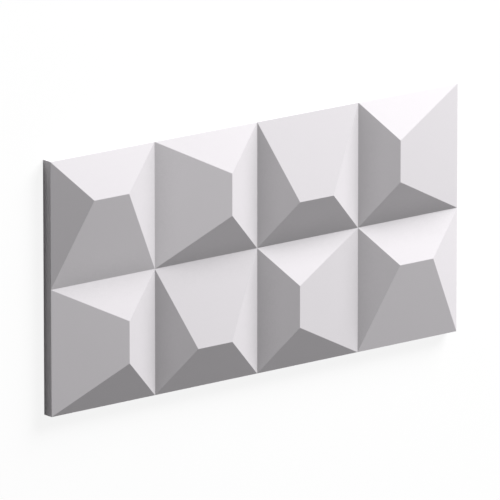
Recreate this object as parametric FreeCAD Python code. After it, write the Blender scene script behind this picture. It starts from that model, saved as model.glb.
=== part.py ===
"""A cast gypsum wall panel tile: one flat-backed slab whose face is a grid of square relief cells.

Each cell is an off-centre hip roof: four sloping facets that climb to a short ridge. From one cell
to the next, to the right or down, the roof turns a quarter clockwise, so the ridges wander over the
face and no two neighbours catch the light alike.

The tile lies on its back. X runs along its length and Y up its height, as it hangs on a wall, and Z
stands out of its face. The origin is the middle of the back. All sizes are in millimetres.
"""

import FreeCAD
import Part
import os

# Driving dimensions
COLUMNS = 4
ROWS = 2
CELL_SIDE = 150.0        # a cell is square, because the roofs are turned in quarter turns
EDGE_THICKNESS = 14.0    # the plain sides, from the back up to the valleys between the roofs
RIDGE_RISE = 17.0        # a ridge above the valleys
RIDGE_SETBACK = 50.0     # a ridge from the cell edge that it stands nearest to
RIDGE_LENGTH = 50.0      # a ridge from end to end, at the middle of its cell

# Sizes that follow
PANEL_LENGTH = COLUMNS * CELL_SIDE
PANEL_HEIGHT = ROWS * CELL_SIDE

# Directions and turns
ORIGIN = FreeCAD.Vector(0, 0, 0)
X_AXIS = FreeCAD.Vector(1, 0, 0)
Z_AXIS = FreeCAD.Vector(0, 0, 1)
QUARTER_TURN = 90.0


def slab():
    """The plain tile behind the relief, with a flat back and square sides that butt against its neighbours."""
    corner = FreeCAD.Vector(-PANEL_LENGTH / 2, -PANEL_HEIGHT / 2, 0)
    return Part.makeBox(PANEL_LENGTH, PANEL_HEIGHT, EDGE_THICKNESS, corner)


def hip_roof():
    """One cell's roof, on z = 0 about the cell's middle, its ridge along X and nearest to the +Y edge."""
    half_cell = CELL_SIDE / 2
    half_ridge = RIDGE_LENGTH / 2
    ridge_y = half_cell - RIDGE_SETBACK
    # A wedge rises along its own Y, so until it is stood up, its Z is the cell's -Y.
    roof = Part.makeWedge(
        -half_cell, 0, -half_cell, -ridge_y, -half_ridge,
        half_cell, RIDGE_RISE, half_cell, -ridge_y, half_ridge,
    )
    roof.rotate(ORIGIN, X_AXIS, QUARTER_TURN)
    return roof


def cell_relief(column, row):
    """The roof of one cell, turned and in its place. Columns count from the left, and rows from the top."""
    roof = hip_roof()
    roof.rotate(ORIGIN, Z_AXIS, -QUARTER_TURN * (column + row))
    x = (column + 0.5) * CELL_SIDE - PANEL_LENGTH / 2
    y = PANEL_HEIGHT / 2 - (row + 0.5) * CELL_SIDE
    roof.translate(FreeCAD.Vector(x, y, EDGE_THICKNESS))
    return roof


def panel_tile():
    """The whole tile as one casting, with the faces that lie in one plane joined."""
    roofs = [cell_relief(column, row) for row in range(ROWS) for column in range(COLUMNS)]
    return slab().multiFuse(roofs).removeSplitter()


os.makedirs("parts", exist_ok=True)
panel_tile().exportStep("parts/panel_tile.step")
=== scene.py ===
"""The looks of a cast gypsum wall panel tile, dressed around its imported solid.

The tile lies on its back on a pale studio floor. The camera looks down on it from the left, with the
tile's top edge up in the picture, so the tile shows as it would hang on a wall. Lengths are in metres
and angles in degrees, in the frame of the solid: X along the tile, Y up it, Z out of its face. The lens
and its sensor are in millimetres, and the lamp's power is in watts.
"""

import math

import bmesh
import bpy
from mathutils import Matrix, Vector


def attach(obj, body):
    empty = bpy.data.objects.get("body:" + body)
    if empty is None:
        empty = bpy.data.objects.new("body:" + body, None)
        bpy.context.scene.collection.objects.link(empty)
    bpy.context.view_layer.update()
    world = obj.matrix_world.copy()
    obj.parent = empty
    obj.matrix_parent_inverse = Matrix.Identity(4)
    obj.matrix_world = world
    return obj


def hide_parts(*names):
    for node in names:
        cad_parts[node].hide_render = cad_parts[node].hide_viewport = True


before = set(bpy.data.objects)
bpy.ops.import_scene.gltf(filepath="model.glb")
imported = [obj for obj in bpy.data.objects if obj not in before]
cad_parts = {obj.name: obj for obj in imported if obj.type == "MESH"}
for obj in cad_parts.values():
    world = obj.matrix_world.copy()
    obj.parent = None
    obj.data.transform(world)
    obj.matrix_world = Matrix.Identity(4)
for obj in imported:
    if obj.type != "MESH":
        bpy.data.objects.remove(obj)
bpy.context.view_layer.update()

MM = 0.001

# The casting: its arrises and valleys are eased a little, and the edges of its back a little more
FACE_EASE = 0.5 * MM
BACK_EASE = 1.0 * MM
EASE_STEPS = 3
WELD = 0.01 * MM
FLAT_WITHIN = 0.1

# How finely a cloudy pattern is broken up, where it has no detail of its own
NOISE_DETAIL = 2.0

# Gypsum: two whites that the drying leaves in soft patches, with a fine speckle
DRY_WHITE = (0.870, 0.842, 0.870, 1)
DAMP_WHITE = (0.848, 0.818, 0.848, 1)
PATCH_SIZE = 90 * MM
PATCH_DETAIL = 3.0
SPECKLE_SIZE = 2.5 * MM
SPECKLE_SHARE = 0.3

# The finish: matt all over, and rougher in some places than in others
SHEEN_SIZE = 8 * MM
SMOOTHEST = 0.80
ROUGHEST = 0.95
GLOSS = 0.1

# Marks of casting on every face: slow waves, fine grain and pinholes
WAVE_SIZE = 45 * MM
WAVE_HEIGHT = 0.05 * MM
GRAIN_SIZE = 0.7 * MM
GRAIN_HEIGHT = 0.008 * MM
PINHOLE_SPACING = 11 * MM
PINHOLE_RADIUS = 0.4 * MM
PINHOLE_DEPTH = 0.25 * MM

# The flat bottom of a pinhole or a pit, as a share of its radius
PINHOLE_BOTTOM = 0.4

# Marks on the back, where the normal's Z is below a limit: strokes of the float, and wider pits
BACK_FACES_DOWN = -0.5
BACK_PIT_RADIUS = 1.1 * MM
STROKE_LENGTH = 180 * MM
STROKE_WIDTH = 24 * MM
STROKE_HEIGHT = 0.5 * MM
STROKE_DETAIL = 1.0

# Painted shade in the valleys: a grey mixed into the white, with its full share where VALLEY_SHELTER of
# the view outwards is shut off
VALLEY_SHADE_GREY = (0.43, 0.42, 0.43, 1)
VALLEY_SHADE_SHARE = 0.6
VALLEY_SHADE_REACH = 40 * MM
VALLEY_SHELTER = 0.1

# Camera, as it stands before the face of an upright tile
CAMERA_TO_THE_LEFT = 38.62
CAMERA_ABOVE = 14.70
CAMERA_DISTANCE = 11.471
LENS = 716.4
SENSOR_WIDTH = 36
AIM = Vector((-10.57 * MM, -0.45 * MM, 14.0 * MM))

# Studio: a broad bank of soft light beyond the tile's top right corner, and dim light all round
KEY_AZIMUTH = 54.0
KEY_ELEVATION = 24.0
KEY_DISTANCE = 5.0
KEY_WIDTH = 3.5
KEY_HEIGHT = 2.4
KEY_POWER = 428.0
NEUTRAL = (1, 1, 1, 1)
AMBIENT = 0.062
WHITE = 0.98

# Floor: its pale colour lights the tile, and the camera sees its shaded colour and its glow added
FLOOR_HALF = 6.0
FLOOR_DROP = 0.1 * MM
FLOOR_PALE = (0.85, 0.85, 0.85, 1)
FLOOR_SHADED = (0.17, 0.17, 0.17, 1)
FLOOR_GLOW = 0.88


def node(tree, kind, **settings):
    """A new shader node, with its properties set by name."""
    made = tree.nodes.new("ShaderNode" + kind)
    for name, value in settings.items():
        setattr(made, name, value)
    return made


def material_nodes(name):
    """A new node material, its node tree and its output node, with nothing else in the tree."""
    material = bpy.data.materials.new(name)
    material.use_nodes = True
    tree = material.node_tree
    tree.nodes.clear()
    return material, tree, node(tree, "OutputMaterial")


def math_node(tree, operation, first, second):
    """The result of one operation on two values, each a socket or a number."""
    made = node(tree, "Math", operation=operation)
    for socket, value in zip(made.inputs, (first, second)):
        if isinstance(value, bpy.types.NodeSocket):
            tree.links.new(value, socket)
        else:
            socket.default_value = value
    return made.outputs["Value"]


def noise(tree, place, size, detail=NOISE_DETAIL):
    """A cloudy pattern from 0 to 1, with lumps of about a given size."""
    made = node(tree, "TexNoise")
    made.inputs["Scale"].default_value = 1 / size
    made.inputs["Detail"].default_value = detail
    tree.links.new(place, made.inputs["Vector"])
    return made.outputs["Fac"]


def between(tree, pattern, low, high):
    """A pattern of 0 to 1, spread from a low to a high value."""
    made = node(tree, "MapRange")
    made.inputs["To Min"].default_value = low
    made.inputs["To Max"].default_value = high
    tree.links.new(pattern, made.inputs["Value"])
    return made.outputs["Result"]


def pits(tree, place, radius):
    """How deep the surface is eaten by the small air bubbles that it happens to cut, from 0 to 1."""
    bubbles = node(tree, "TexVoronoi")
    bubbles.inputs["Scale"].default_value = 1 / PINHOLE_SPACING
    tree.links.new(place, bubbles.inputs["Vector"])
    bowl = node(tree, "MapRange", interpolation_type="SMOOTHSTEP")
    bowl.inputs["From Min"].default_value = PINHOLE_BOTTOM * radius / PINHOLE_SPACING
    bowl.inputs["From Max"].default_value = radius / PINHOLE_SPACING
    bowl.inputs["To Min"].default_value = 1
    bowl.inputs["To Max"].default_value = 0
    tree.links.new(bubbles.outputs["Distance"], bowl.inputs["Value"])
    return bowl.outputs["Result"]


def float_strokes(tree, place):
    """The long low strokes of the float that levelled the poured back, from 0 to 1."""
    stretch = node(tree, "Mapping")
    stretch.inputs["Scale"].default_value = (STROKE_WIDTH / STROKE_LENGTH, 1, 1)
    tree.links.new(place, stretch.inputs["Vector"])
    return noise(tree, stretch.outputs["Vector"], STROKE_WIDTH, STROKE_DETAIL)


def back_relief(tree, place, facing):
    """The height of the strokes and pits on the back, in metres, and 0 on the other faces."""
    strokes = math_node(tree, "MULTIPLY", float_strokes(tree, place), STROKE_HEIGHT)
    hollows = math_node(tree, "MULTIPLY", pits(tree, place, BACK_PIT_RADIUS), -PINHOLE_DEPTH)
    axes = node(tree, "SeparateXYZ")
    tree.links.new(facing, axes.inputs["Vector"])
    on_back = math_node(tree, "LESS_THAN", axes.outputs["Z"], BACK_FACES_DOWN)
    return math_node(tree, "MULTIPLY", math_node(tree, "ADD", strokes, hollows), on_back)


def fine_relief(tree, place, facing):
    """The height of all that is finer than the mesh, in metres."""
    waves = math_node(tree, "MULTIPLY", noise(tree, place, WAVE_SIZE), WAVE_HEIGHT)
    grain = math_node(tree, "MULTIPLY", noise(tree, place, GRAIN_SIZE), GRAIN_HEIGHT)
    pinholes = math_node(tree, "MULTIPLY", pits(tree, place, PINHOLE_RADIUS), -PINHOLE_DEPTH)
    cast = math_node(tree, "ADD", waves, grain)
    marked = math_node(tree, "ADD", pinholes, back_relief(tree, place, facing))
    return math_node(tree, "ADD", cast, marked)


def painted_valley_shade(tree):
    """How far painted shade greys the white: 0 in the open, and its full share at the bottom of a
    valley.
    """
    # Painted shade: the white is greyed where the tile's own relief shuts off the view outwards, as
    # shade falls in a valley
    shelter = node(tree, "AmbientOcclusion", only_local=True)
    shelter.inputs["Distance"].default_value = VALLEY_SHADE_REACH
    shade_share = node(tree, "MapRange")
    shade_share.inputs["From Min"].default_value = 1 - VALLEY_SHELTER
    shade_share.inputs["To Min"].default_value = VALLEY_SHADE_SHARE
    shade_share.inputs["To Max"].default_value = 0
    tree.links.new(shelter.outputs["AO"], shade_share.inputs["Value"])
    return shade_share.outputs["Result"]


def gypsum_colour(tree, place):
    """White that is faintly clouded and speckled where it dried, and greyed by painted shade in the
    valleys.
    """
    clouds = between(tree, noise(tree, place, PATCH_SIZE, PATCH_DETAIL), 0, 1 - SPECKLE_SHARE)
    speckle = between(tree, noise(tree, place, SPECKLE_SIZE), 0, SPECKLE_SHARE)
    whites = node(tree, "Mix", data_type="RGBA")
    whites.inputs["A"].default_value = DAMP_WHITE
    whites.inputs["B"].default_value = DRY_WHITE
    tree.links.new(math_node(tree, "ADD", clouds, speckle), whites.inputs["Factor"])
    # Painted shade: a grey mixed into the white towards the bottom of each valley
    shaded_colour = node(tree, "Mix", data_type="RGBA")
    shaded_colour.inputs["B"].default_value = VALLEY_SHADE_GREY
    tree.links.new(painted_valley_shade(tree), shaded_colour.inputs["Factor"])
    tree.links.new(whites.outputs["Result"], shaded_colour.inputs["A"])
    return shaded_colour.outputs["Result"]


def gypsum():
    """White cast gypsum: matt, with painted shade in the valleys, fine grain and a few pinholes."""
    material, tree, output = material_nodes("cast_gypsum")
    source = node(tree, "TexCoord")
    place = source.outputs["Object"]
    # The relief's heights are in metres, so the bump takes them as they are
    bump = node(tree, "Bump")
    bump.inputs["Distance"].default_value = 1
    tree.links.new(fine_relief(tree, place, source.outputs["Normal"]), bump.inputs["Height"])
    roughness = between(tree, noise(tree, place, SHEEN_SIZE), SMOOTHEST, ROUGHEST)
    shader = node(tree, "BsdfPrincipled")
    shader.inputs["Specular IOR Level"].default_value = GLOSS
    tree.links.new(gypsum_colour(tree, place), shader.inputs["Base Color"])
    tree.links.new(roughness, shader.inputs["Roughness"])
    tree.links.new(bump.outputs["Normal"], shader.inputs["Normal"])
    tree.links.new(shader.outputs["BSDF"], output.inputs["Surface"])
    return material


def whole_facets():
    """The solid's surface with its triangles joined into whole flat facets, as a bmesh."""
    form = bmesh.new()
    form.from_mesh(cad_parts["panel_tile"].data)
    bmesh.ops.remove_doubles(form, verts=form.verts, dist=WELD)
    flat = math.radians(FLAT_WITHIN)
    bmesh.ops.dissolve_limit(form, angle_limit=flat, verts=form.verts, edges=form.edges)
    for facet in form.faces:
        facet.smooth = True
    return form


def casting():
    """The tile's own surface: the solid's facets, with every arris and valley eased."""
    form = whole_facets()
    ease = form.edges.layers.float.new("bevel_weight_edge")
    for edge in form.edges:
        on_back = max(end.co.z for end in edge.verts) < BACK_EASE
        edge[ease] = 1 if on_back else FACE_EASE / BACK_EASE
    mesh = bpy.data.meshes.new("tile_casting")
    form.to_mesh(mesh)
    form.free()
    mesh.materials.append(gypsum())
    tile = bpy.data.objects.new("tile_casting", mesh)
    bpy.context.scene.collection.objects.link(tile)
    eased = tile.modifiers.new("eased_edges", "BEVEL")
    eased.limit_method = "WEIGHT"
    eased.offset_type = "WIDTH"
    eased.width = BACK_EASE
    eased.segments = EASE_STEPS
    tile.modifiers.new("flat_facets", "WEIGHTED_NORMAL")
    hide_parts("panel_tile")
    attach(tile, "root")


def camera():
    """A long lens at the angle of the photograph, level with the tile's length, with the top edge up."""
    left = math.radians(CAMERA_TO_THE_LEFT)
    above = math.radians(CAMERA_ABOVE)
    level = math.cos(above)
    back = Vector((-math.sin(left) * level, math.sin(above), math.cos(left) * level))
    right = Vector((0, 1, 0)).cross(back).normalized()
    up = back.cross(right)
    data = bpy.data.cameras.new("camera")
    data.sensor_width = SENSOR_WIDTH
    data.lens = LENS
    data.clip_end = 2 * CAMERA_DISTANCE
    eye = bpy.data.objects.new("camera", data)
    bpy.context.scene.collection.objects.link(eye)
    turned = Matrix((right, up, back)).transposed().to_4x4()
    eye.matrix_world = Matrix.Translation(AIM + back * CAMERA_DISTANCE) @ turned
    bpy.context.scene.camera = eye


def seen_directly(tree):
    """1 for what the camera sees, straight, mirrored or through glass, and 0 for other light."""
    path = node(tree, "LightPath")
    straight = path.outputs["Is Camera Ray"]
    mirrored = path.outputs["Is Glossy Ray"]
    through_glass = path.outputs["Is Transmission Ray"]
    turned_aside = math_node(tree, "MAXIMUM", mirrored, through_glass)
    return math_node(tree, "MAXIMUM", straight, turned_aside)


def floor_paint():
    """Plain pale paint, which shows white in the picture and keeps a faint shadow."""
    material, tree, output = material_nodes("floor_paint")
    pale = node(tree, "BsdfDiffuse")
    pale.inputs["Color"].default_value = FLOOR_PALE
    shaded = node(tree, "BsdfDiffuse")
    shaded.inputs["Color"].default_value = FLOOR_SHADED
    glow = node(tree, "Emission")
    glow.inputs["Strength"].default_value = FLOOR_GLOW
    shown = node(tree, "AddShader")
    tree.links.new(shaded.outputs["BSDF"], shown.inputs[0])
    tree.links.new(glow.outputs["Emission"], shown.inputs[1])
    paint = node(tree, "MixShader")
    tree.links.new(seen_directly(tree), paint.inputs["Fac"])
    tree.links.new(pale.outputs["BSDF"], paint.inputs[1])
    tree.links.new(shown.outputs["Shader"], paint.inputs[2])
    tree.links.new(paint.outputs["Shader"], output.inputs["Surface"])
    # The glow is there to be seen, and isn't a lamp
    material.cycles.emission_sampling = "NONE"
    return material


def floor():
    """A wide floor, a hair below the tile's back."""
    side = FLOOR_HALF
    corners = [(-side, -side, 0), (side, -side, 0), (side, side, 0), (-side, side, 0)]
    mesh = bpy.data.meshes.new("floor")
    mesh.from_pydata(corners, [], [(0, 1, 2, 3)])
    mesh.materials.append(floor_paint())
    plane = bpy.data.objects.new("floor", mesh)
    bpy.context.scene.collection.objects.link(plane)
    plane.location.z = -FLOOR_DROP


def key_light():
    """One broad bank of soft light, low over the floor, that faces the tile."""
    azimuth = math.radians(KEY_AZIMUTH)
    elevation = math.radians(KEY_ELEVATION)
    level = math.cos(elevation)
    towards = Vector((level * math.cos(azimuth), level * math.sin(azimuth), math.sin(elevation)))
    data = bpy.data.lights.new("key", "AREA")
    data.shape = "RECTANGLE"
    data.size = KEY_WIDTH
    data.size_y = KEY_HEIGHT
    data.energy = KEY_POWER
    lamp = bpy.data.objects.new("key", data)
    bpy.context.scene.collection.objects.link(lamp)
    lamp.location = towards * KEY_DISTANCE
    lamp.rotation_mode = "QUATERNION"
    lamp.rotation_quaternion = towards.to_track_quat("Z", "Y")
    lamp.visible_camera = False


def studio_world():
    """A dim even light from all round, which shows as white where the floor ends."""
    world = bpy.data.worlds.new("studio")
    bpy.context.scene.world = world
    world.use_nodes = True
    tree = world.node_tree
    tree.nodes.clear()
    dim = node(tree, "Background", name="ambient")
    dim.inputs["Color"].default_value = NEUTRAL
    dim.inputs["Strength"].default_value = AMBIENT
    white = node(tree, "Background", name="white")
    white.inputs["Color"].default_value = NEUTRAL
    white.inputs["Strength"].default_value = WHITE
    sky = node(tree, "MixShader")
    output = node(tree, "OutputWorld")
    tree.links.new(seen_directly(tree), sky.inputs["Fac"])
    tree.links.new(dim.outputs["Background"], sky.inputs[1])
    tree.links.new(white.outputs["Background"], sky.inputs[2])
    tree.links.new(sky.outputs["Shader"], output.inputs["Surface"])


casting()
camera()
floor()
key_light()
studio_world()
bpy.context.scene.view_settings.view_transform = "Standard"
